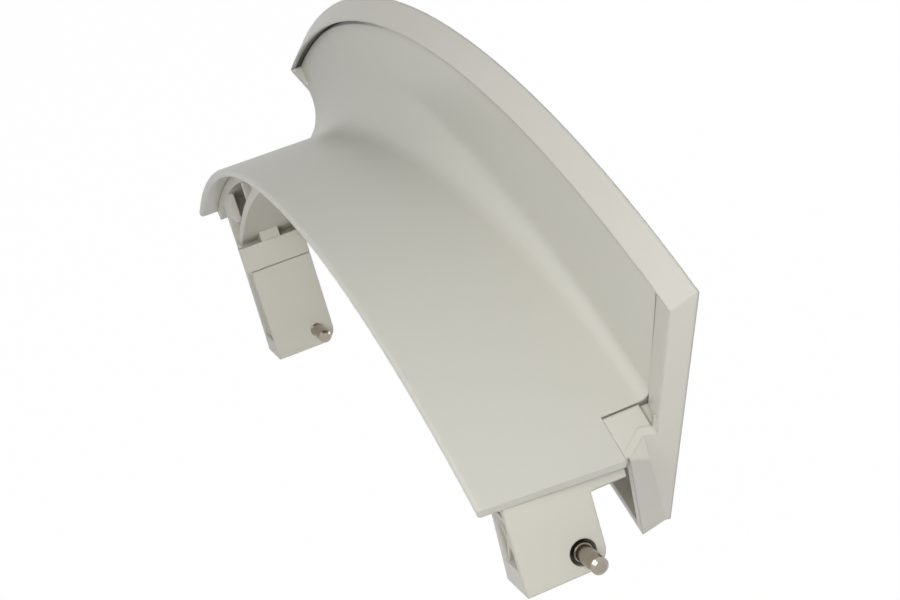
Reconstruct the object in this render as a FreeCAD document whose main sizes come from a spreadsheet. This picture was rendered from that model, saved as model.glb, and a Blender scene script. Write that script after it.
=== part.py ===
import FreeCAD, Part
import os
import Sketcher

# Bow-shaped door handle of a washing machine, in millimetres.
# X runs along the hinge pins from the long arm to the short arm, Y runs from the
# open side of the finger recess to the front of the door, and Z is up. The origin
# is on the pins' axis, where the long pin leaves the long arm.

# Driving dimensions: name, value, what it is
SIZES = [
    # Hinge
    ("pin_diameter", 4.0, "free ends of the hinge pins"),
    ("shank_diameter", 4.4, "pressed-in length of each pin"),
    ("arm_spacing", 210.9, "from the long arm's pin face to the short arm's"),
    ("long_pin_reach", 9.9, "free end of the long arm's pin"),
    ("short_pin_reach", 9.1, "free end of the short arm's pin"),
    ("pin_seat", 9.4, "length of each pin that sits in its arm"),
    ("pin_chamfer", 0.7, "chamfer on both ends of a pin"),
    ("counterbore_diameter", 6.2, "relief round the short arm's pin"),
    ("counterbore_depth", 2.4, "depth of that relief"),
    # Arch of the grip, an arc about its own centre
    ("arch_radius", 209.6, "outer face of the recess wall"),
    ("arch_across", 74.3, "centre of the arch along X"),
    ("arch_top", 70.1, "highest point of the arch above the pins"),
    ("arch_start_across", -29.2, "end of the arch on the long arm's side"),
    ("grip_reach", 19.9, "rear edge of the recess wall behind the pins"),
    ("liner_wall", 2.4, "recess wall"),
    ("flange_wall", 1.0, "upright flange of the liner"),
    ("flange_back", 25.2, "rear face of the flange in front of the pins"),
    ("bead_radius", 1.1, "rounded rear edge of the recess wall"),
    ("crease_radius_long", 18.5, "hollow between wall and flange at the long arm's end"),
    ("crease_radius_short", 2.6, "the same at the short arm's end"),
    ("liner_proud", 1.37, "recess wall past the cover's end, at the shelf"),
    ("liner_slant", 2.2, "how much less it is at the wall's rear edge"),
    # Rim of the cover, an arc about another centre
    ("rim_radius", 271.2, "outer edge of the cover"),
    ("rim_across", 83.0, "centre of the rim along X"),
    ("rim_top", 105.2, "highest point of the rim above the pins"),
    ("rim_start_across", -28.17, "end of the cover on the long arm's side, at the rim"),
    ("rim_end_reach", 28.43, "end of the cover past the short arm's pin face, at the rim"),
    ("cover_front", 27.4, "front face in front of the pins"),
    ("cover_back", 22.3, "rear edge of the rim in front of the pins"),
    ("panel_wall", 1.1, "front panel"),
    ("cover_wall", 2.0, "lower lip"),
    ("cover_depth", 80.6, "from the rim down to the cover's lower edge"),
    ("lower_lip_back", 19.8, "rear edge of the lower lip in front of the pins"),
    ("rim_land", 0.6, "narrow land behind the rim's bevel"),
    ("rim_round", 0.3, "narrow land along the rim's front edge"),
    ("facet_slope", 0.3, "lean of the cover's end facet, across by depth"),
    ("end_wall", 2.2, "walls that close the cover's two ends"),
    # Corner where the liner stops short of the cover's end
    ("corner_inset", 10.06, "from the cover's end back to the joint with the liner, at the grip"),
    ("corner_back", 13.6, "rear end of the cover's corner in front of the pins"),
    ("corner_gap", 0.5, "dark joint between liner and cover"),
    ("crest_land", 0.4, "narrow land beside the facet"),
    ("ramp_rise", 0.308, "slope of the cover from that land down to the joint"),
    # Bar below the grip at the cover's end: its rear edge, its ridge and how far it stands out
    ("bar_top_back", 14.2, "rear edge of the bar at the grip"),
    ("bar_top_front", 19.6, "ridge at the grip"),
    ("bar_low_front", 26.3, "ridge at the lower end"),
    ("bar_top_flare", 1.5, "rear edge outside the facet's foot at the grip"),
    ("bar_low_flare", 0.9, "the same at the lower end"),
    ("shelf_inset", 0.6, "end of the cover's shelf inside the bar's outer face"),
    # Gaps of the fit
    ("edge_gap", 0.2, "between the flange's edge and the rim"),
    ("end_rib_reach", 8.0, "rib that rises from the flange to the rim at the long arm's end"),
    ("fit_gap", 0.1, "between parts that are pushed together"),
    # Lever frame
    ("frame_wall", 2.9, "arched layer under the liner"),
    ("frame_reach", 14.3, "rear face of the lever frame behind the pins"),
    ("frame_front", 5.1, "front face of the arms in front of the pins"),
    ("web_wall", 1.8, "upright web and side walls of the arms"),
    ("arm_tip", 4.9, "lower end of the arms below the pins"),
    ("tip_round", 4.6, "rounded lower front corner of the arms"),
    ("long_arm_width", 11.8, "long arm below its shoulder"),
    ("long_arm_flare", 2.6, "how much wider its tip is"),
    ("shoulder_drop", 17.4, "from the arched layer down to the long arm's shoulder"),
    ("shoulder_height", 8.0, "thicker top of the long arm"),
    ("shoulder_proud", 0.25, "how far that top stands out on the pin's face"),
    ("shoulder_ledge", 1.6, "how far it stands out to the rear"),
    ("witness_groove", 0.4, "fine groove below that top"),
    ("side_height", 13.9, "side wall above that top"),
    ("lug_across", 2.0, "end of the lug under the layer's rear edge"),
    ("lug_height", 8.5, "height of that lug below the layer, at the pin's face"),
    ("wedge_width", 6.0, "block on the long arm's shoulder"),
    ("wedge_height", 11.2, "height of that block"),
    ("wedge_top", 2.8, "its flat top"),
    ("wedge_nose", 3.3, "its upright side, below the slope"),
    ("wedge_back", 8.3, "its rear face behind the pins"),
    ("wedge_front", 2.2, "its front face behind the pins"),
    ("short_arm_width", 9.4, "short arm at its top"),
    ("short_arm_flare", 2.6, "how much wider its tip is"),
    ("rib_wall", 1.2, "thin crossing ribs"),
    ("bow_radius", 240.0, "under side of the curved strut from the long arm to the arch"),
    ("bow_across", 124.0, "centre of that strut along X"),
    ("bow_up", -169.0, "its centre above the pins"),
    ("bow_wall", 2.6, "wall of that strut"),
    ("bow_start_angle", 33.6, "end of the strut in the long arm, from the vertical"),
    ("bow_end_angle", 13.5, "its end in the arched layer"),
    ("bow_rib_across", 28.0, "first short rib between strut and layer"),
    ("bow_rib_pitch", 14.0, "from that rib to the second"),
    ("bow_rib_reach", 6.0, "length of these ribs"),
    ("web_reach", 56.0, "end of the web above the long arm"),
    ("web_depth", 14.0, "web below the arched layer"),
]

# Lengths that follow from the driving ones
DERIVED = [
    ("arch_up", "=arch_top - arch_radius"),
    ("rim_up", "=rim_top - rim_radius"),
    ("rim_start_angle", "=asin((rim_across - rim_start_across) / rim_radius) / 1 deg"),
    ("rim_end_angle", "=asin((arm_spacing + rim_end_reach - rim_across) / rim_radius) / 1 deg"),
    ("arch_start_angle", "=asin((arch_across - arch_start_across) / arch_radius) / 1 deg"),
    ("liner_inner", "=arch_radius - liner_wall"),
    ("frame_outer", "=arch_radius - liner_wall - fit_gap"),
    ("frame_inner", "=arch_radius - liner_wall - fit_gap - frame_wall"),
    ("arch_sweep", "=arch_start_angle + asin((arm_spacing - arch_across) / frame_inner) / 1 deg + 6"),
    ("bevel_foot", "=rim_radius - (cover_front - rim_round - cover_back)"),
    ("lip_radius", "=bevel_foot - rim_land"),
    ("flange_edge", "=bevel_foot - rim_land - edge_gap"),
    ("flange_front", "=flange_back + flange_wall"),
    ("panel_back", "=cover_front - panel_wall"),
    ("cover_inner", "=rim_radius - cover_depth"),
    ("far_out", "=2 * rim_radius"),
    ("long_top", "=arch_top - arch_radius + sqrt(frame_inner ^ 2 - arch_across ^ 2)"),
    ("short_top", "=arch_top - arch_radius + sqrt(frame_inner ^ 2 - (arm_spacing - arch_across) ^ 2)"),
    ("shoulder_top", "=long_top - shoulder_drop"),
    ("shoulder_foot", "=long_top - shoulder_drop - shoulder_height"),
    ("centre_drop", "=arch_top - arch_radius - rim_top + rim_radius"),
    ("centre_shift", "=arch_across - rim_across"),
    ("level_reach", "=centre_shift * sin(rim_end_angle) + centre_drop * cos(rim_end_angle)"),
    ("level_radius", "=level_reach + sqrt(level_reach ^ 2 - centre_shift ^ 2 - centre_drop ^ 2"
                     " + arch_radius ^ 2)"),
    ("bar_top_radius", "=level_reach + sqrt(level_reach ^ 2 - centre_shift ^ 2 - centre_drop ^ 2"
                       " + arch_radius ^ 2) + 2 * liner_wall"),
    ("bar_stretch", "=1 + 2 * liner_wall / (level_radius - cover_inner)"),
    ("level_across", "=rim_across + level_radius * sin(rim_end_angle)"),
    ("level_up", "=rim_top - rim_radius + level_radius * cos(rim_end_angle)"),
    ("level_sin", "=(level_across - arch_across) / arch_radius"),
    ("level_cos", "=(level_up - arch_top + arch_radius) / arch_radius"),
    ("gap_angle", "=corner_gap / level_radius * 180 / pi"),
    ("corner_angle", "=rim_end_angle - corner_inset / level_radius * 180 / pi"),
    ("crest_place", "=-facet_slope * (cover_front - cover_back) - crest_land"),
    ("ramp_reach", "=corner_inset * bevel_foot / level_radius"),
    ("pocket_floor", "=pin_diameter / 2 + web_wall"),
]


def make_sheet(doc):
    sheet = doc.addObject("Spreadsheet::Sheet", "Sizes")
    for row, (name, value, note) in enumerate(SIZES, start=1):
        sheet.set("A%d" % row, str(value))
        sheet.setAlias("A%d" % row, name)
        sheet.set("B%d" % row, note)
    for row, (name, formula) in enumerate(DERIVED, start=len(SIZES) + 1):
        sheet.set("A%d" % row, formula)
        sheet.setAlias("A%d" % row, name)
    doc.recompute()
    return sheet


# A sketch corner is a pair of formulas over the sheet's names, where $name is a cell
def formula(text):
    return str(text).replace("$", "Sizes.")


def origin_plane(body, role):
    for feature in body.Origin.OriginFeatures:
        if feature.Role == role:
            return feature
    raise ValueError(role)


def make_body(doc, label):
    body = doc.addObject("PartDesign::Body", label)
    body.Label = label
    return body


def make_sketch(body, name, role, across="0", up="0", away="0"):
    sketch = body.newObject("Sketcher::SketchObject", name)
    sketch.AttachmentSupport = (origin_plane(body, role), [""])
    sketch.MapMode = "FlatFace"
    for axis, text in (("x", across), ("y", up), ("z", away)):
        sketch.setExpression("AttachmentOffset.Base." + axis, formula(text))
    return sketch


# A sketch in a plane that holds the arc's axis, so its X is the radius and its Y the depth
def radial_sketch(body, name, across, up, angle):
    sketch = make_sketch(body, name, "XY_Plane", across=across, away=up)
    turn = FreeCAD.Rotation(FreeCAD.Vector(0, 1, 0), 1.0)
    sketch.AttachmentOffset = FreeCAD.Placement(FreeCAD.Vector(), turn)
    sketch.setExpression("AttachmentOffset.Rotation.Angle", formula("(%s) - 90" % angle))
    return sketch


# A sketch in a plane square to an arc's radial line, so its X is the tangent and its Y the depth
def tangent_sketch(body, name, across, up, angle):
    return radial_sketch(body, name, across, up, "%s + 90" % angle)


def add_polygon(sketch, corners):
    texts = [(formula(x), formula(y)) for x, y in corners]
    points = [FreeCAD.Vector(sketch.evalExpression(x), sketch.evalExpression(y), 0) for x, y in texts]
    first = sketch.GeometryCount
    count = len(points)
    for step in range(count):
        sketch.addGeometry(Part.LineSegment(points[step], points[(step + 1) % count]))
    for step in range(count):
        following = first + (step + 1) % count
        sketch.addConstraint(Sketcher.Constraint("Coincident", first + step, 2, following, 1))
    for step in range(count):
        for kind, value, text in (("DistanceX", points[step].x, texts[step][0]),
                                  ("DistanceY", points[step].y, texts[step][1])):
            place = sketch.addConstraint(Sketcher.Constraint(kind, -1, 1, first + step, 1, value))
            sketch.setExpression("Constraints[%d]" % place, text)


def add_circle(sketch, across, up, radius):
    texts = [formula(across), formula(up), formula(radius)]
    x, y, r = [sketch.evalExpression(text) for text in texts]
    circle = sketch.addGeometry(Part.Circle(FreeCAD.Vector(x, y, 0), FreeCAD.Vector(0, 0, 1), r))
    for kind, value, text in (("DistanceX", x, texts[0]), ("DistanceY", y, texts[1])):
        place = sketch.addConstraint(Sketcher.Constraint(kind, -1, 1, circle, 3, value))
        sketch.setExpression("Constraints[%d]" % place, text)
    place = sketch.addConstraint(Sketcher.Constraint("Radius", circle, r))
    sketch.setExpression("Constraints[%d]" % place, texts[2])


def settled(body):
    body.Document.recompute()
    return body.Shape.Volume


# A pad or pocket goes from the sketch's plane along the body's +Y, or +X for a YZ sketch
def extrude(body, kind, sketch, length):
    feature = body.newObject("PartDesign::" + kind, sketch.Name.replace("Sketch", kind))
    feature.Profile = sketch
    feature.setExpression("Length", formula(length))
    backward = sketch.AttachmentSupport[0][0].Role == "XZ_Plane"
    feature.Reversed = backward if kind == "Pad" else not backward
    sketch.Visibility = False
    return feature


def pad(body, sketch, length):
    before = settled(body) if body.Tip else 0.0
    feature = extrude(body, "Pad", sketch, length)
    if settled(body) <= before:
        raise ValueError(sketch.Name + " adds nothing")
    return feature


def pocket(body, sketch, length):
    before = settled(body)
    feature = extrude(body, "Pocket", sketch, length)
    if settled(body) >= before:
        raise ValueError(sketch.Name + " cuts nothing")
    return feature


def revolve(body, sketch, sweep):
    before = settled(body) if body.Tip else 0.0
    feature = body.newObject("PartDesign::Revolution", sketch.Name.replace("Sketch", "Arc"))
    feature.Profile = sketch
    feature.ReferenceAxis = (sketch, ["V_Axis"])
    feature.setExpression("Angle", formula(sweep))
    sketch.Visibility = False
    if settled(body) <= before:
        raise ValueError(sketch.Name + " adds nothing")
    return feature


def round_edges(body, name, radius, chosen, kind="Fillet"):
    settled(body)
    base = body.Tip
    names = ["Edge%d" % (number + 1) for number, edge in enumerate(base.Shape.Edges) if chosen(edge)]
    if not names:
        raise ValueError(name + " finds no edge")
    feature = body.newObject("PartDesign::" + kind, name)
    feature.Base = (base, names)
    feature.setExpression("Radius" if kind == "Fillet" else "Size", formula(radius))
    settled(body)
    return feature


# The strip of an arc's plane beyond a radial line, on the side of growing or falling angle
def beyond_line(across, up, angle, side):
    line_x = "%s + $far_out * sin(%s)" % (across, angle)
    line_z = "%s + $far_out * cos(%s)" % (up, angle)
    away_x = "%s * $far_out * cos(%s)" % (side, angle)
    away_z = "%s * $far_out * sin(%s)" % (-side, angle)
    return [(across, up), (line_x, line_z),
            (line_x + " + " + away_x, line_z + " + " + away_z),
            (across + " + " + away_x, up + " + " + away_z)]


# A point of the rim's plane by its radius about the rim's centre and its angle from the vertical
def polar(radius, angle):
    return ("$rim_across + (%s) * sin(%s)" % (radius, angle), "$rim_up + (%s) * cos(%s)" % (radius, angle))


# Corners of a wall that stands on a radial line of the rim, from one radius to another
def radial_wall(angle, thickness, low, high):
    corners = []
    for radius, depth in ((low, "0"), (high, "0"), (high, thickness), (low, thickness)):
        corners.append(("$rim_across + (%s) * sin(%s) + (%s) * cos(%s)" % (radius, angle, depth, angle),
                        "$rim_up + (%s) * cos(%s) - (%s) * sin(%s)" % (radius, angle, depth, angle)))
    return corners


def on_circle(edge, radius):
    return isinstance(edge.Curve, Part.Circle) and abs(edge.Curve.Radius - radius) < 1e-4


def at_height(edge, z):
    return all(abs(vertex.Point.z - z) < 1e-4 for vertex in edge.Vertexes)


def at_depth(edge, y):
    return all(abs(vertex.Point.y - y) < 1e-4 for vertex in edge.Vertexes)


# Liner of the finger recess: an arched wall with an upright flange, one moulding
def make_liner(doc, sheet):
    body = make_body(doc, "liner_body")
    # Flange, an arc about the rim's centre
    flange = radial_sketch(body, "FlangeSketch", "$rim_across", "$rim_up", "-$rim_start_angle")
    add_polygon(flange, [("$cover_inner", "$flange_back"), ("$flange_edge", "$flange_back"),
                         ("$flange_edge", "$flange_front"), ("$cover_inner", "$flange_front")])
    revolve(body, flange, "$rim_start_angle + $rim_end_angle")
    under = make_sketch(body, "UnderSketch", "XZ_Plane")
    add_circle(under, "$arch_across", "$arch_up", "$liner_inner")
    pocket(body, under, "$cover_front")
    # Recess wall
    wall = radial_sketch(body, "WallSketch", "$arch_across", "$arch_up", "-$arch_start_angle")
    add_polygon(wall, [("$liner_inner", "-$grip_reach"), ("$arch_radius", "-$grip_reach"),
                       ("$arch_radius", "$flange_front"), ("$liner_inner", "$flange_front")])
    revolve(body, wall, "$arch_sweep")
    # Both ends: the wall runs on past the flange, which stops inside the cover
    start = make_sketch(body, "StartSketch", "XZ_Plane", away="-($cover_back - $fit_gap)")
    flange_start = "-$rim_start_angle + $fit_gap / $level_radius * 180 / pi"
    add_polygon(start, beyond_line("$rim_across", "$rim_up", flange_start, -1))
    pocket(body, start, "$cover_front")
    finish = tangent_sketch(body, "FinishSketch", "$rim_across", "$rim_up", "$rim_end_angle")
    add_polygon(finish, [("$liner_proud", "$corner_back"), ("$liner_proud - $liner_slant", "-$grip_reach"),
                         ("$far_out", "-$grip_reach"), ("$far_out", "$corner_back")])
    pocket(body, finish, "$far_out")
    corner = make_sketch(body, "CornerSketch", "XZ_Plane", away="-$corner_back")
    add_polygon(corner, beyond_line("$rim_across", "$rim_up", "$corner_angle", 1))
    pocket(body, corner, "$cover_front")
    # The flange rises to the rim at its start
    rib = radial_sketch(body, "EndRibSketch", "$rim_across", "$rim_up", flange_start)
    add_polygon(rib, [("$flange_edge", "$cover_back"), ("$flange_edge", "$flange_front"),
                      ("$flange_edge - $end_rib_reach", "$flange_front"),
                      ("$flange_edge - $end_rib_reach", "$flange_back")])
    revolve(body, rib, "$end_wall / $level_radius * 180 / pi")
    reach = -sheet.grip_reach
    round_edges(body, "RearBead", "$bead_radius",
                lambda edge: at_depth(edge, reach) and isinstance(edge.Curve, Part.Circle))
    # Hollow crease, wide at the long arm's end and tight at the short arm's
    crease = doc.addObject("Part::Fillet", "Crease")
    crease.Base = body
    crease.Edges = crease_edges(body.Shape, sheet)
    crease.Label = "grip_liner"
    return crease


def crease_edges(shape, sheet):
    found = []
    for number, edge in enumerate(shape.Edges, start=1):
        if on_circle(edge, sheet.arch_radius) and at_depth(edge, sheet.flange_back):
            ends = [sheet.crease_radius_long, sheet.crease_radius_short]
            if edge.Vertexes[0].Point.x > edge.Vertexes[-1].Point.x:
                ends.reverse()
            found.append((number, ends[0], ends[1]))
    return found


# Front cover: a shallow shell with a bevelled rim, closed at both ends
def make_cover(doc):
    body = make_body(doc, "front_cover")
    add_corner_shelf(body)
    shell = radial_sketch(body, "ShellSketch", "$rim_across", "$rim_up", "-$rim_start_angle")
    add_polygon(shell, [("$cover_inner", "$lower_lip_back"),
                        ("$cover_inner + $cover_wall", "$lower_lip_back"),
                        ("$cover_inner + $cover_wall", "$panel_back"), ("$lip_radius", "$panel_back"),
                        ("$lip_radius", "$cover_back"), ("$bevel_foot", "$cover_back"),
                        ("$rim_radius", "$cover_front - $rim_round"), ("$rim_radius", "$cover_front"),
                        ("$cover_inner", "$cover_front")])
    revolve(body, shell, "$rim_start_angle + $rim_end_angle")
    # End on the long arm's side
    start = make_sketch(body, "StartSketch", "XZ_Plane", away="-$cover_back")
    add_polygon(start, radial_wall("-$rim_start_angle", "$end_wall", "$cover_inner", "$level_radius"))
    pad(body, start, "$cover_front - $cover_back")
    add_short_end(body)
    add_end_bar(body)
    return body


# Corner of the cover at the grip: a shelf that carries on the recess wall to the cover's end
def add_corner_shelf(body):
    shelf = radial_sketch(body, "ShelfSketch", "$arch_across", "$arch_up", "$corner_angle - 10")
    crease = "$crease_radius_short"
    profile = [("$liner_inner", "$corner_back"), ("$arch_radius", "$corner_back")]
    for turn in (0, 30, 60, 90):
        profile.append(("$arch_radius + %s * (1 - cos(%d))" % (crease, turn),
                        "$flange_back - %s * (1 - sin(%d))" % (crease, turn)))
    profile.append(("$arch_radius + " + crease, "$panel_back"))
    profile.append(("$liner_inner", "$panel_back"))
    add_polygon(shelf, profile)
    revolve(body, shelf, "30")
    joint = make_sketch(body, "JointSketch", "XZ_Plane")
    add_polygon(joint, beyond_line("$rim_across", "$rim_up", "$corner_angle + $gap_angle", -1))
    pocket(body, joint, "$cover_front")
    finish = tangent_sketch(body, "FinishSketch", "$rim_across", "$rim_up", "$rim_end_angle")
    lean = "$facet_slope * ($cover_front - $bar_top_front)"
    add_polygon(finish, [("$bar_top_flare - $shelf_inset", "$bar_top_back"),
                         ("-%s - $shelf_inset" % lean, "$bar_top_front"), ("-$shelf_inset", "$cover_front"),
                         ("$far_out", "$cover_front"), ("$far_out", "0"),
                         ("$bar_top_flare - $shelf_inset", "0")])
    pocket(body, finish, "$far_out")


# Outline of the end wall square to its length: front edge, ridge, rear edge and inner face
def end_section(ridge, back, flare):
    lean = "$facet_slope * ($cover_front - (%s))" % ridge
    return [("0", "$cover_front"), ("-%s" % lean, ridge), (flare, back),
            ("%s - $end_wall" % flare, back), ("-%s - $end_wall" % lean, ridge),
            ("-$end_wall", "$cover_front")]


# End wall below the grip: a facet and a darker bar that meet in a slanting ridge
def add_end_bar(body):
    drawn = "%s + (%s - %s) * $bar_stretch"
    stations = (("$cover_inner", "$bar_low_front", "$lower_lip_back", "$bar_low_flare"),
                ("$bar_top_radius", drawn % ("$bar_low_front", "$bar_top_front", "$bar_low_front"),
                 drawn % ("$lower_lip_back", "$bar_top_back", "$lower_lip_back"),
                 drawn % ("$bar_low_flare", "$bar_top_flare", "$bar_low_flare")))
    sections = []
    for number, (radius, ridge, back, flare) in enumerate(stations):
        across, up = polar(radius, "$rim_end_angle")
        section = tangent_sketch(body, "BarSketch%d" % number, across, up, "$rim_end_angle")
        add_polygon(section, end_section(ridge, back, flare))
        sections.append(section)
    before = settled(body)
    bar = body.newObject("PartDesign::AdditiveLoft", "Bar")
    bar.Profile = sections[0]
    bar.Sections = [sections[1]]
    bar.Ruled = True
    if settled(body) <= before:
        raise ValueError("the end bar adds nothing")
    # Behind the rim it ends just above the grip, square to the arch
    above = make_sketch(body, "AboveSketch", "XZ_Plane")
    across = "$level_across + $fit_gap * $level_sin"
    up = "$level_up + $fit_gap * $level_cos"
    add_polygon(above, [(across + " - $far_out * $level_cos", up + " + $far_out * $level_sin"),
                        (across + " + $far_out * $level_cos", up + " - $far_out * $level_sin"),
                        (across + " + $far_out * ($level_cos + $level_sin)",
                         up + " + $far_out * ($level_cos - $level_sin)"),
                        (across + " - $far_out * ($level_cos - $level_sin)",
                         up + " + $far_out * ($level_cos + $level_sin)")])
    pocket(body, above, "$cover_back")


# Band of the cover beside the liner's joint, with the facet of the cover's end
def add_short_end(body):
    band = make_sketch(body, "BandSketch", "XZ_Plane", away="-$cover_back")
    add_polygon(band, [polar("$cover_inner", "$corner_angle + $gap_angle"),
                       polar("$bevel_foot", "$corner_angle + $gap_angle"),
                       polar("$bevel_foot", "$rim_end_angle"), polar("$cover_inner", "$rim_end_angle")])
    pad(body, band, "$cover_front - $cover_back")
    # Slope from the land beside the facet down to the joint, above the grip
    across, up = polar("$level_radius", "$rim_end_angle")
    ramp = tangent_sketch(body, "RampSketch", across, up, "$rim_end_angle")
    add_polygon(ramp, [("$crest_place", "$cover_back"),
                       ("$crest_place - $ramp_reach", "$cover_back + $ramp_reach * $ramp_rise"),
                       ("$crest_place - $ramp_reach", "$cover_back")])
    pocket(body, ramp, "$lip_radius - $level_radius")
    facet = tangent_sketch(body, "FacetSketch", "$rim_across", "$rim_up", "$rim_end_angle")
    add_polygon(facet, [("-$facet_slope * ($cover_front - $cover_back)", "$cover_back"),
                        ("0", "$cover_front"), ("$rim_radius", "$cover_front"),
                        ("$rim_radius", "$cover_back")])
    pocket(body, facet, "$far_out")


# Lever frame: an arched layer that the liner sits on, with two arms that carry the pins
def make_frame(doc, sheet):
    body = make_body(doc, "lever_frame")
    add_ring(body, "Layer", "$frame_inner", "$frame_outer", "-$frame_reach", "$corner_back",
             "-$arch_start_angle", "$arch_sweep")
    # Webs under the layer: a deep one in front, a shallow one behind
    add_ring(body, "FrontWeb", "$frame_inner - $web_depth", "$frame_inner", "$frame_front - $web_wall",
             "$frame_front", "-$arch_start_angle", "$arch_sweep")
    trim = make_sketch(body, "TrimSketch", "XZ_Plane", away="$far_out")
    add_polygon(trim, [("$arm_spacing", "-$far_out"), ("$arm_spacing + $far_out", "-$far_out"),
                       ("$arm_spacing + $far_out", "$far_out"), ("$arm_spacing", "$far_out")])
    pocket(body, trim, "2 * $far_out")
    add_long_arm(body)
    add_short_arm(body)
    add_bores(body)
    round_edges(body, "TipRound", "$tip_round",
                lambda edge: at_depth(edge, sheet.frame_front) and at_height(edge, -sheet.arm_tip))
    return body


def add_ring(body, name, inner, outer, back, front, start, sweep, across="$arch_across", up="$arch_up"):
    ring = radial_sketch(body, name + "Sketch", across, up, start)
    add_polygon(ring, [(inner, back), (outer, back), (outer, front), (inner, front)])
    revolve(body, ring, sweep)


# A block given by its outline in XZ and its rear and front faces
def add_block(body, name, corners, back, front):
    block = make_sketch(body, name + "Sketch", "XZ_Plane", away="-(%s)" % back)
    add_polygon(block, corners)
    pad(body, block, "%s - (%s)" % (front, back))


def cut_block(body, name, corners, back, front):
    block = make_sketch(body, name + "Sketch", "XZ_Plane", away="-(%s)" % back)
    add_polygon(block, corners)
    pocket(body, block, "%s - (%s)" % (front, back))


# Two thin ribs that cross in a pocket, from corner to corner
def add_crossing_ribs(body, name, left, right, low, high):
    for number, (x_low, x_high) in enumerate(((left, right), (right, left))):
        add_block(body, "%sRib%d" % (name, number),
                  [("%s - $rib_wall / 2" % x_low, low), ("%s + $rib_wall / 2" % x_low, low),
                   ("%s + $rib_wall / 2" % x_high, high), ("%s - $rib_wall / 2" % x_high, high)],
                  "-$frame_reach + $rib_wall / 2", "-$pocket_floor")


def add_long_arm(body):
    add_block(body, "LongArm",
              [("0", "-$arm_tip"), ("0", "$shoulder_top"), ("-$long_arm_width", "$shoulder_top"),
               ("-$long_arm_width", "$shoulder_foot"),
               ("-$long_arm_width - $long_arm_flare", "-$arm_tip")],
              "-$frame_reach", "$frame_front")
    # Thicker top, which stands out on the pin's face, and its ledge to the rear
    for name, left, back in (("Shoulder", "-$long_arm_width", "-$frame_reach"),
                             ("Ledge", "-$web_wall", "-$frame_reach - $shoulder_ledge")):
        add_block(body, name,
                  [("$shoulder_proud", "$shoulder_foot"), ("$shoulder_proud", "$shoulder_top"),
                   (left, "$shoulder_top"), (left, "$shoulder_foot")], back, "$frame_front")
    cut_block(body, "Witness",
              [("-$witness_groove", "$shoulder_foot - $witness_groove"),
               ("2 * $shoulder_proud", "$shoulder_foot - $witness_groove"),
               ("2 * $shoulder_proud", "$shoulder_foot"), ("-$witness_groove", "$shoulder_foot")],
              "-$far_out", "$far_out")
    # Side wall and web between the shoulder and the arch
    add_block(body, "SideWall",
              [("-$long_arm_width", "$shoulder_foot"), ("-$long_arm_width + $web_wall", "$shoulder_foot"),
               ("-$long_arm_width + $web_wall", "$shoulder_top + $side_height"),
               ("-$long_arm_width", "$shoulder_top + $side_height")],
              "-$frame_reach", "$frame_front")
    add_block(body, "ShoulderWeb",
              [("-$long_arm_width", "$shoulder_top - $web_wall"),
               ("$long_arm_width", "$shoulder_top - $web_wall"),
               ("$web_reach", "$long_top + $web_wall"), ("0", "$long_top + $web_wall / 2"),
               ("-$long_arm_width", "$shoulder_top + $side_height")],
              "$frame_front - $web_wall", "$frame_front")
    add_ring(body, "Bow", "$bow_radius", "$bow_radius + $bow_wall", "-$frame_reach + $rib_wall / 2",
             "$frame_front", "-$bow_start_angle", "$bow_start_angle - $bow_end_angle",
             "$bow_across", "$bow_up")
    add_block(body, "Wedge",
              [("0", "$shoulder_top - $web_wall"), ("0", "$shoulder_top + $wedge_nose"),
               ("$wedge_top - $wedge_width", "$shoulder_top + $wedge_height"),
               ("-$wedge_width", "$shoulder_top + $wedge_height"),
               ("-$wedge_width", "$shoulder_top - $web_wall")],
              "-$wedge_back", "-$wedge_front")
    # Lug under the layer's rear edge
    add_block(body, "Lug",
              [("-$long_arm_width", "$long_top - $lug_height"),
               ("$lug_across", "$long_top - $lug_height"), ("$lug_across", "$long_top + $web_wall"),
               ("-$long_arm_width", "$shoulder_top + $side_height")],
              "-$frame_reach", "-$frame_reach + $web_wall")
    for number in range(2):
        place = "$bow_rib_across + %d * $bow_rib_pitch" % number
        low = "$bow_up + sqrt($bow_radius ^ 2 - (%s - $bow_across) ^ 2) + $bow_wall / 2" % place
        high = "$arch_up + sqrt($frame_inner ^ 2 - (%s - $arch_across) ^ 2) + $frame_wall / 2" % place
        add_block(body, "BowRib%d" % number,
                  [("%s - $rib_wall / 2" % place, low), ("%s + $rib_wall / 2" % place, low),
                   ("%s + $rib_wall / 2" % place, high), ("%s - $rib_wall / 2" % place, high)],
                  "-$frame_reach + $rib_wall / 2", "-$frame_reach + $bow_rib_reach")
    cut_block(body, "LongPocket",
              [("-$web_wall", "$pin_diameter / 4"), ("-$web_wall", "$shoulder_foot"),
               ("-$long_arm_width + $web_wall", "$shoulder_foot"),
               ("-$long_arm_width - $long_arm_flare / 2 + $web_wall", "$pin_diameter / 4")],
              "-$far_out", "-$pocket_floor")
    add_crossing_ribs(body, "Long", "-$long_arm_width + $web_wall", "-$web_wall",
                      "$pin_diameter / 4", "$shoulder_foot")


def add_short_arm(body):
    left = "$arm_spacing - $short_arm_width"
    add_block(body, "ShortArm",
              [("$arm_spacing", "-$arm_tip"), ("$arm_spacing", "$short_top + $frame_wall / 3"),
               (left, "$short_top + $frame_wall"), (left, "$short_top"),
               (left + " - $short_arm_flare", "-$arm_tip")],
              "-$frame_reach", "$frame_front")
    cut_block(body, "ShortPocket",
              [("$arm_spacing - $web_wall", "$pin_diameter / 4"), ("$arm_spacing - $web_wall", "$short_top"),
               (left + " + $web_wall", "$short_top"),
               (left + " - $short_arm_flare / 2 + $web_wall", "$pin_diameter / 4")],
              "-$far_out", "-$pocket_floor")
    add_crossing_ribs(body, "Short", left + " + $web_wall / 2", "$arm_spacing - $web_wall",
                      "$pin_diameter / 4", "$short_top")


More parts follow.
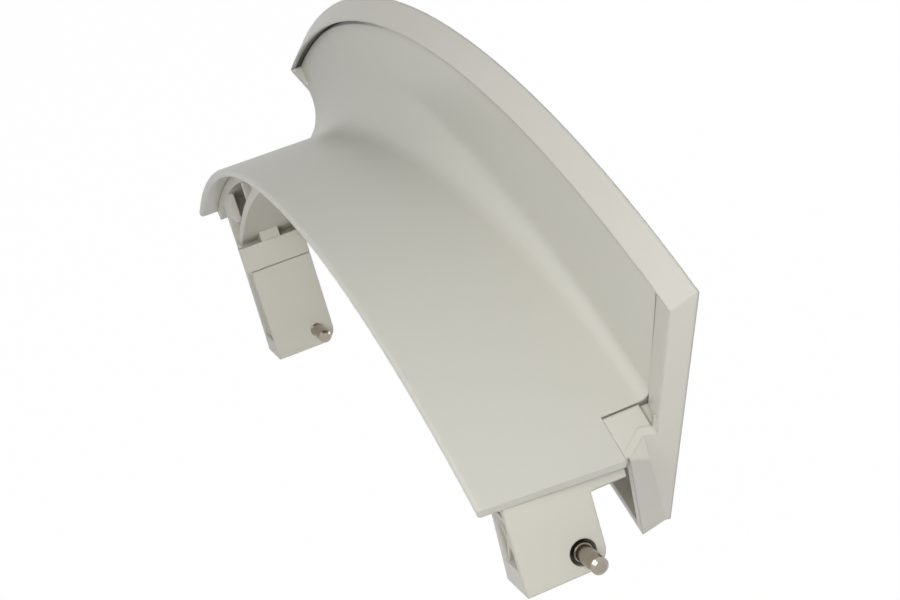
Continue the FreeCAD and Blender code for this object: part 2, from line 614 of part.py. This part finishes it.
# Blind bores for the pins, and the relief round the short arm's pin
def add_bores(body):
    for name, face, diameter, depth in (
            ("LongBore", "0", "$shank_diameter", "$pin_seat"),
            ("ShortBore", "$arm_spacing", "$shank_diameter", "$pin_seat"),
            ("Counterbore", "$arm_spacing", "$counterbore_diameter", "$counterbore_depth")):
        bore = make_sketch(body, name + "Sketch", "YZ_Plane", away="%s - %s" % (face, depth))
        add_circle(bore, "0", "0", diameter + " / 2")
        pocket(body, bore, depth)


# A pin: a thicker shank that sits in the arm up to its face, and a free end
def make_pin(doc, label, face, reach):
    body = make_body(doc, label)
    for name, start, radius, length in (
            ("ShankSketch", "%s - $pin_seat" % face, "$shank_diameter / 2", "$pin_seat"),
            ("FreeSketch", "%s - $pin_seat" % face, "$pin_diameter / 2", "$pin_seat + %s" % reach)):
        sketch = make_sketch(body, name, "YZ_Plane", away=start)
        add_circle(sketch, "0", "0", radius)
        pad(body, sketch, length)
    tip = body.Shape.BoundBox.XMax
    round_edges(body, "EndChamfer", "$pin_chamfer", kind="Chamfer",
                chosen=lambda edge: abs(edge.CenterOfMass.x - tip) < 1e-4)
    return body


def check_and_write(doc, parts):
    doc.recompute()
    for item in doc.Objects:
        if "Invalid" in item.State or "Error" in item.State:
            raise ValueError(item.Name + " failed")
    for part in parts:
        if part.Shape.isNull() or not part.Shape.isValid():
            raise ValueError(part.Label + " has no sound shape")
        print(part.Label, "solids", len(part.Shape.Solids), "volume", round(part.Shape.Volume, 1))
    os.makedirs("parts", exist_ok=True)
    for part in parts:
        part.Shape.exportStep("parts/" + part.Label + ".step")


def main():
    doc = FreeCAD.newDocument("DoorHandle")
    sheet = make_sheet(doc)
    parts = [make_liner(doc, sheet), make_cover(doc), make_frame(doc, sheet),
             make_pin(doc, "long_arm_pin", "0", "$long_pin_reach"),
             make_pin(doc, "short_arm_pin", "$arm_spacing", "$short_pin_reach")]
    check_and_write(doc, parts)


main()
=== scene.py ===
import bpy
import math
from mathutils import Matrix, Vector


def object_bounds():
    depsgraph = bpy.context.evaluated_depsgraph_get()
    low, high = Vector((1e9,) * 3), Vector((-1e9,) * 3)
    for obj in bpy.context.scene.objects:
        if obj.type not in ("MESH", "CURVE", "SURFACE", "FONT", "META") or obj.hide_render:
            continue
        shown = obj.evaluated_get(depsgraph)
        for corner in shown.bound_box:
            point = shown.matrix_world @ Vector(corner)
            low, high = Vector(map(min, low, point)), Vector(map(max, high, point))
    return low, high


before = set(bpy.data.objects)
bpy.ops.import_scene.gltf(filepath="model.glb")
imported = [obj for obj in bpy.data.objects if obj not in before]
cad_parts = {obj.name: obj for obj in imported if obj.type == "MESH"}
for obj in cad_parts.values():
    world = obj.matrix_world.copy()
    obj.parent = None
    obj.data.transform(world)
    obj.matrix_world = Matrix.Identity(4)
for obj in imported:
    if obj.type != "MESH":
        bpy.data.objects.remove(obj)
cad_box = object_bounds()

# Lengths are metres: X runs along the pins from the long arm to the short one, Y to the door's front, Z up
ACROSS = Vector((1.0, 0.0, 0.0))
DEPTH = Vector((0.0, 1.0, 0.0))
UP = Vector((0.0, 0.0, 1.0))

# Camera, worked out from the photograph: it looks along the pins from the short arm's side
CAMERA_PLACE = Vector((0.5384, -0.1010, 0.1700))
CAMERA_RIGHT = Vector((0.3322, 0.9045, -0.2675))
CAMERA_UP = Vector((-0.2063, 0.3465, 0.9151))
FOCAL_LENGTH = 72.0
SENSOR_WIDTH = 36.0

# Floor and backdrop: the floor glows white by this share, and the rest of it shows the part's faint shadow
FLOOR_DROP = 0.030
FLOOR_SIZE = 12.0
FLOOR_GLOW_SHARE = 0.99
WORLD_FILL = 0.24

# Looks of the plastics: linear colour, roughness, strength of the skin, radius of the softened edges,
# and the share of the colour that the painted shade leaves in the deepest inner corners
COVER = {"colour": (0.652, 0.636, 0.572), "roughness": 0.32, "skin": 0.10, "edge": 0.0008, "darkest_painted_shade": 0.6}
LINER = {"colour": (0.632, 0.625, 0.565), "roughness": 0.34, "skin": 0.10, "edge": 0.0005, "darkest_painted_shade": 0.7}
FRAME = {"colour": (0.618, 0.598, 0.535), "roughness": 0.42, "skin": 0.14, "edge": 0.0005, "darkest_painted_shade": 0.85}
CORNER_SHADE_REACH = 0.005
TONE_SPREAD = 0.015
SHEEN_SPREAD = 0.03
SKIN_DEPTH = 0.0001
PLASTIC_INDEX = 1.45
PLASTIC_MIRROR = 0.2

# Looks of the steel: grooves run round the pin, so its noise is squeezed along the pin's axis
STEEL_COLOUR = (0.37, 0.33, 0.275)
STEEL_SPREAD = 0.15
STEEL_SMOOTHEST = 0.16
STEEL_ROUGHEST = 0.28
GROOVE_STRENGTH = 0.08
GROOVE_DEPTH = 0.00003

# The rim's centre and the cover's end on the short arm's side, as in the CAD
RIM_CENTRE = Vector((0.083, 0.0, -0.166))
END_ANGLE = math.radians(35.2)
OUTWARD = Vector((math.sin(END_ANGLE), 0.0, math.cos(END_ANGLE)))

# Painted shadow in the gap under the rim's lip: a thin band of radii and depths, which ends towards the
# short arm
LIP_RADIUS = 0.2658
LIP_BELOW = 0.0006
LIP_ABOVE = 0.0003
LIP_SHADE_BACK = 0.0234
LIP_SHADE_END = 0.14
LIP_SHADE_SHARE = 0.95
PANEL_BACK = 0.0262

# Painted light on the cover's corner: the end bar's colour is raised on a slope that falls from the bar's
# rear edge to the ridge
SLOPE_TOP = 0.2245
SLOPE_BACK = 0.0142
SLOPE_FALL = 1.21
SLOPE_START = 0.0002
SLOPE_PAINTED_LIGHT = 0.30
BAR_NORMAL = Vector((0.67, 0.58, -0.47))
BAR_FACING = 0.9

# Shade that the lip throws on the liner's flange: it fades towards the middle
FLANGE_SHADE_RADIUS = 0.2661
FLANGE_SHADE_FALL = 0.034
FLANGE_SHADE_END = 0.075
FLANGE_SHADE_SHARE = 0.85
FLANGE_BACK = 0.0252
FLANGE_MARGIN = 0.0004

# Painted shade in the deep relief round the short arm's pin
RELIEF_RADIUS = 0.0031
RELIEF_FACE = 0.2109
RELIEF_DEPTH = 0.004
RELIEF_MARGIN = 0.0003
RELIEF_SHADE_SHARE = 0.75


def node_tree(name):
    material = bpy.data.materials.new(name)
    material.use_nodes = True
    tree = material.node_tree
    tree.nodes.clear()
    output = tree.nodes.new("ShaderNodeOutputMaterial")
    shader = tree.nodes.new("ShaderNodeBsdfPrincipled")
    tree.links.new(shader.outputs["BSDF"], output.inputs["Surface"])
    return material, tree, shader


def calculate(tree, operation, first, second):
    node = tree.nodes.new("ShaderNodeMath")
    node.operation = operation
    for slot, value in enumerate((first, second)):
        if isinstance(value, (int, float)):
            node.inputs[slot].default_value = value
        else:
            tree.links.new(value, node.inputs[slot])
    return node.outputs["Value"]


# Maps a value's range onto another one, and stops at its ends
def spread_over(tree, value, low, high, start=0.0, end=1.0):
    node = tree.nodes.new("ShaderNodeMapRange")
    node.inputs["From Min"].default_value = start
    node.inputs["From Max"].default_value = end
    node.inputs["To Min"].default_value = low
    node.inputs["To Max"].default_value = high
    tree.links.new(value, node.inputs["Value"])
    return node.outputs["Result"]


def dot_product(tree, vector, direction):
    product = tree.nodes.new("ShaderNodeVectorMath")
    product.operation = "DOT_PRODUCT"
    product.inputs[1].default_value = direction
    tree.links.new(vector, product.inputs[0])
    return product.outputs["Value"]


# How far a point lies along a direction, less a start
def along(tree, direction, start=0.0):
    place = tree.nodes.new("ShaderNodeTexCoord")
    return calculate(tree, "SUBTRACT", dot_product(tree, place.outputs["Object"], direction), start)


# Distance from a centre, measured along two of the axes
def distance(tree, axes, centre):
    squares = [calculate(tree, "POWER", along(tree, axis, centre.dot(axis)), 2.0) for axis in axes]
    return calculate(tree, "SQRT", calculate(tree, "ADD", squares[0], squares[1]), 0.0)


# 0 below the edge and 1 above it, over a soft width
def above(tree, value, edge, width=0.0001):
    return spread_over(tree, value, 0.0, 1.0, edge - width / 2, edge + width / 2)


def below(tree, value, edge, width=0.0001):
    return calculate(tree, "SUBTRACT", 1.0, above(tree, value, edge, width))


def all_of(tree, masks):
    product = masks[0]
    for mask in masks[1:]:
        product = calculate(tree, "MULTIPLY", product, mask)
    return product


# Factor that takes the given share away where the mask is 1
def darker(tree, mask, share):
    return calculate(tree, "SUBTRACT", 1.0, calculate(tree, "MULTIPLY", mask, share))


def noise(tree, scale, detail=3.0, roughness=0.5, stretch=(1, 1, 1)):
    place = tree.nodes.new("ShaderNodeTexCoord")
    mapping = tree.nodes.new("ShaderNodeMapping")
    mapping.inputs["Scale"].default_value = stretch
    texture = tree.nodes.new("ShaderNodeTexNoise")
    texture.inputs["Scale"].default_value = scale
    texture.inputs["Detail"].default_value = detail
    texture.inputs["Roughness"].default_value = roughness
    tree.links.new(place.outputs["Object"], mapping.inputs["Vector"])
    tree.links.new(mapping.outputs["Vector"], texture.inputs["Vector"])
    return texture.outputs["Fac"]


# A colour that varies with a value, by the given share to either side
def varied(tree, value, colour, share):
    blend = tree.nodes.new("ShaderNodeValToRGB")
    for stop, position, factor in zip(blend.color_ramp.elements, (0.3, 0.7), (1 - share, 1 + share)):
        stop.position = position
        stop.color = tuple(channel * factor for channel in colour) + (1.0,)
    tree.links.new(value, blend.inputs["Fac"])
    return blend.outputs["Color"]


def scaled(tree, colour, factor):
    mix = tree.nodes.new("ShaderNodeVectorMath")
    mix.operation = "SCALE"
    tree.links.new(colour, mix.inputs[0])
    tree.links.new(factor, mix.inputs["Scale"])
    return mix.outputs["Vector"]


# Painted shade: ambient occlusion darkens joints and inner corners a little below the open faces, where
# shade falls
def painted_corner_shade(tree, colour, darkest_painted_shade):
    reach = tree.nodes.new("ShaderNodeAmbientOcclusion")
    reach.samples = 8
    reach.inputs["Distance"].default_value = CORNER_SHADE_REACH
    return scaled(tree, colour, spread_over(tree, reach.outputs["AO"], darkest_painted_shade, 1.0, 0.1, 0.6))


def bump_of(tree, height, strength, depth):
    bump = tree.nodes.new("ShaderNodeBump")
    bump.inputs["Strength"].default_value = strength
    bump.inputs["Distance"].default_value = depth
    tree.links.new(height, bump.inputs["Height"])
    return bump


# Moulded plastic: a soft gloss, a slight unevenness of tone, painted shade in the inner corners, a very
# fine skin and softened edges.
# Each piece's factor scales the colour where shade and light are painted on it
def moulded_plastic(name, painted_shading, colour, roughness, skin, edge, darkest_painted_shade):
    material, tree, shader = node_tree(name)
    # The tone carries a random unevenness and the painted shade of the inner corners
    tone = painted_corner_shade(tree, varied(tree, noise(tree, 14.0, 2.0), colour, TONE_SPREAD), darkest_painted_shade)
    tree.links.new(scaled(tree, tone, painted_shading(tree)), shader.inputs["Base Color"])
    sheen = spread_over(tree, noise(tree, 40.0, 4.0), roughness - SHEEN_SPREAD, roughness + SHEEN_SPREAD)
    tree.links.new(sheen, shader.inputs["Roughness"])
    shader.inputs["IOR"].default_value = PLASTIC_INDEX
    shader.inputs["Specular IOR Level"].default_value = PLASTIC_MIRROR
    bump = bump_of(tree, noise(tree, 900.0, 2.0, 0.6), skin, SKIN_DEPTH)
    soft = tree.nodes.new("ShaderNodeBevel")
    soft.samples = 6
    soft.inputs["Radius"].default_value = edge
    tree.links.new(soft.outputs["Normal"], bump.inputs["Normal"])
    tree.links.new(bump.outputs["Normal"], shader.inputs["Normal"])
    return material


# Painted shadow in the gap under the rim's lip, and painted light on the slope of the corner
def cover_painted_shading(tree):
    depth = along(tree, DEPTH)
    radius = distance(tree, (ACROSS, UP), RIM_CENTRE)
    # Painted shadow: a dark band on the lip's inner wall, under the rim's lip
    lip = all_of(tree, [above(tree, depth, LIP_SHADE_BACK, 0.0004),
                        below(tree, depth, PANEL_BACK, 0.0002),
                        above(tree, radius, LIP_RADIUS - LIP_BELOW),
                        below(tree, radius, LIP_RADIUS + LIP_ABOVE),
                        below(tree, along(tree, ACROSS), LIP_SHADE_END, 0.02)])
    ridge = along(tree, OUTWARD + SLOPE_FALL * DEPTH,
                  SLOPE_TOP + RIM_CENTRE.dot(OUTWARD) + SLOPE_FALL * SLOPE_BACK)
    surface = tree.nodes.new("ShaderNodeNewGeometry")
    facing = dot_product(tree, surface.outputs["True Normal"], BAR_NORMAL)
    slope = all_of(tree, [above(tree, ridge, SLOPE_START, 0.0012), above(tree, facing, BAR_FACING, 0.05)])
    # Painted light: the colour on the slope is raised by this share
    slope_painted_light = calculate(tree, "ADD", 1.0, calculate(tree, "MULTIPLY", slope, SLOPE_PAINTED_LIGHT))
    return calculate(tree, "MULTIPLY", darker(tree, lip, LIP_SHADE_SHARE), slope_painted_light)


# The shade along the flange's edge, next to the lip
def liner_painted_shading(tree):
    across = along(tree, ACROSS)
    edge = calculate(tree, "SUBTRACT", FLANGE_SHADE_RADIUS,
                     calculate(tree, "MULTIPLY", across, FLANGE_SHADE_FALL))
    past = calculate(tree, "SUBTRACT", distance(tree, (ACROSS, UP), RIM_CENTRE), edge)
    shade = all_of(tree, [above(tree, past, 0.0, 0.0003),
                          above(tree, along(tree, DEPTH), FLANGE_BACK - FLANGE_MARGIN, 0.0002),
                          below(tree, across, FLANGE_SHADE_END, 0.03)])
    return darker(tree, shade, FLANGE_SHADE_SHARE)


# Painted shade in the deep relief round the short arm's pin
def frame_painted_shading(tree):
    across = along(tree, ACROSS)
    relief = all_of(tree, [below(tree, distance(tree, (DEPTH, UP), Vector()), RELIEF_RADIUS),
                           above(tree, across, RELIEF_FACE - RELIEF_DEPTH),
                           below(tree, across, RELIEF_FACE - RELIEF_MARGIN, 0.0003)])
    return darker(tree, relief, RELIEF_SHADE_SHARE)


# Turned steel: brushed round the pin's axis
def turned_steel(name):
    material, tree, shader = node_tree(name)
    tone = varied(tree, noise(tree, 60.0, 4.0, 0.6, (14, 1, 1)), STEEL_COLOUR, STEEL_SPREAD)
    tree.links.new(tone, shader.inputs["Base Color"])
    shader.inputs["Metallic"].default_value = 1.0
    grain = spread_over(tree, noise(tree, 90.0, 4.0, 0.6, (20, 1, 1)), STEEL_SMOOTHEST, STEEL_ROUGHEST)
    tree.links.new(grain, shader.inputs["Roughness"])
    bump = bump_of(tree, noise(tree, 200.0, 3.0, 0.5, (25, 1, 1)), GROOVE_STRENGTH, GROOVE_DEPTH)
    tree.links.new(bump.outputs["Normal"], shader.inputs["Normal"])
    return material


def dress(node, material):
    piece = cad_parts[node]
    piece.data.materials.clear()
    piece.data.materials.append(material)


def area_light(name, place, aim, width, height, power, spread):
    light = bpy.data.lights.new(name, "AREA")
    light.shape = "RECTANGLE"
    light.size = width
    light.size_y = height
    light.energy = power
    light.spread = math.radians(spread)
    lamp = bpy.data.objects.new(name, light)
    bpy.context.scene.collection.objects.link(lamp)
    lamp.location = place
    lamp.rotation_euler = (aim - place).to_track_quat("-Z", "Y").to_euler()


# 1 for the rays that see the backdrop: the camera's, and those mirrored or let through by a piece
def backdrop_rays(tree):
    path = tree.nodes.new("ShaderNodeLightPath")
    seen = calculate(tree, "MAXIMUM", path.outputs["Is Camera Ray"], path.outputs["Is Glossy Ray"])
    return calculate(tree, "MAXIMUM", seen, path.outputs["Is Transmission Ray"])


# White where it is seen, and a weaker fill as a light
def white_world():
    world = bpy.data.worlds.new("Studio")
    bpy.context.scene.world = world
    world.use_nodes = True
    tree = world.node_tree
    tree.nodes.clear()
    output = tree.nodes.new("ShaderNodeOutputWorld")
    mix = tree.nodes.new("ShaderNodeMixShader")
    for slot, strength in ((1, WORLD_FILL), (2, 1.0)):
        background = tree.nodes.new("ShaderNodeBackground")
        background.inputs["Color"].default_value = (1, 1, 1, 1)
        background.inputs["Strength"].default_value = strength
        tree.links.new(background.outputs["Background"], mix.inputs[slot])
    tree.links.new(backdrop_rays(tree), mix.inputs["Fac"])
    tree.links.new(mix.outputs["Shader"], output.inputs["Surface"])


# White floor: it shows white to the camera and keeps a faint shadow
def white_floor(level):
    bpy.ops.mesh.primitive_plane_add(size=FLOOR_SIZE, location=(0.1, 0.0, level))
    floor = bpy.context.object
    floor.name = "Floor"
    material, tree, shader = node_tree("Floor white")
    shader.inputs["Base Color"].default_value = (0.9, 0.9, 0.9, 1)
    shader.inputs["Roughness"].default_value = 0.9
    glow = tree.nodes.new("ShaderNodeEmission")
    glow.inputs["Strength"].default_value = 1.0
    mix = tree.nodes.new("ShaderNodeMixShader")
    output = next(item for item in tree.nodes if item.type == "OUTPUT_MATERIAL")
    tree.links.new(calculate(tree, "MULTIPLY", backdrop_rays(tree), FLOOR_GLOW_SHARE), mix.inputs["Fac"])
    tree.links.new(shader.outputs["BSDF"], mix.inputs[1])
    tree.links.new(glow.outputs["Emission"], mix.inputs[2])
    tree.links.new(mix.outputs["Shader"], output.inputs["Surface"])
    floor.data.materials.append(material)


def set_camera():
    data = bpy.data.cameras.new("Camera")
    data.lens = FOCAL_LENGTH
    data.sensor_width = SENSOR_WIDTH
    data.sensor_fit = "HORIZONTAL"
    camera = bpy.data.objects.new("Camera", data)
    bpy.context.scene.collection.objects.link(camera)
    backward = CAMERA_RIGHT.cross(CAMERA_UP)
    turn = Matrix((CAMERA_RIGHT, CAMERA_UP, backward)).transposed().to_4x4()
    camera.matrix_world = Matrix.Translation(CAMERA_PLACE) @ turn
    bpy.context.scene.camera = camera


dress("front_cover", moulded_plastic("Cover plastic", cover_painted_shading, **COVER))
dress("grip_liner", moulded_plastic("Liner plastic", liner_painted_shading, **LINER))
dress("lever_frame", moulded_plastic("Frame plastic", frame_painted_shading, **FRAME))
steel = turned_steel("Pin steel")
dress("long_arm_pin", steel)
dress("short_arm_pin", steel)

lowest, highest = cad_box
centre = (lowest + highest) / 2
white_floor(lowest.z - FLOOR_DROP)
white_world()

# Each lamp's name, place, aim, width, height, power in watts and spread in degrees
LAMPS = (
    ("Side", centre + Vector((0.9, 0.25, 0.35)), centre, 0.7, 0.7, 0.95, 180),
    ("Low", centre + Vector((0.7, -0.2, 0.12)), centre, 0.4, 0.25, 0.80, 180),
    ("Near", Vector((0.45, -0.25, 0.30)), Vector((0.2, 0.0, 0.03)), 0.25, 0.25, 1.10, 180),
    ("Front", centre + Vector((-0.45, 0.9, 0.0)), centre, 0.8, 0.8, 7.0, 180),
    ("Far end", Vector((0.48, -0.35, 0.22)), Vector((-0.01, 0.0, 0.04)), 0.12, 0.12, 0.009, 25),
)
for lamp_values in LAMPS:
    area_light(*lamp_values)
set_camera()
bpy.context.scene.view_settings.view_transform = "Standard"
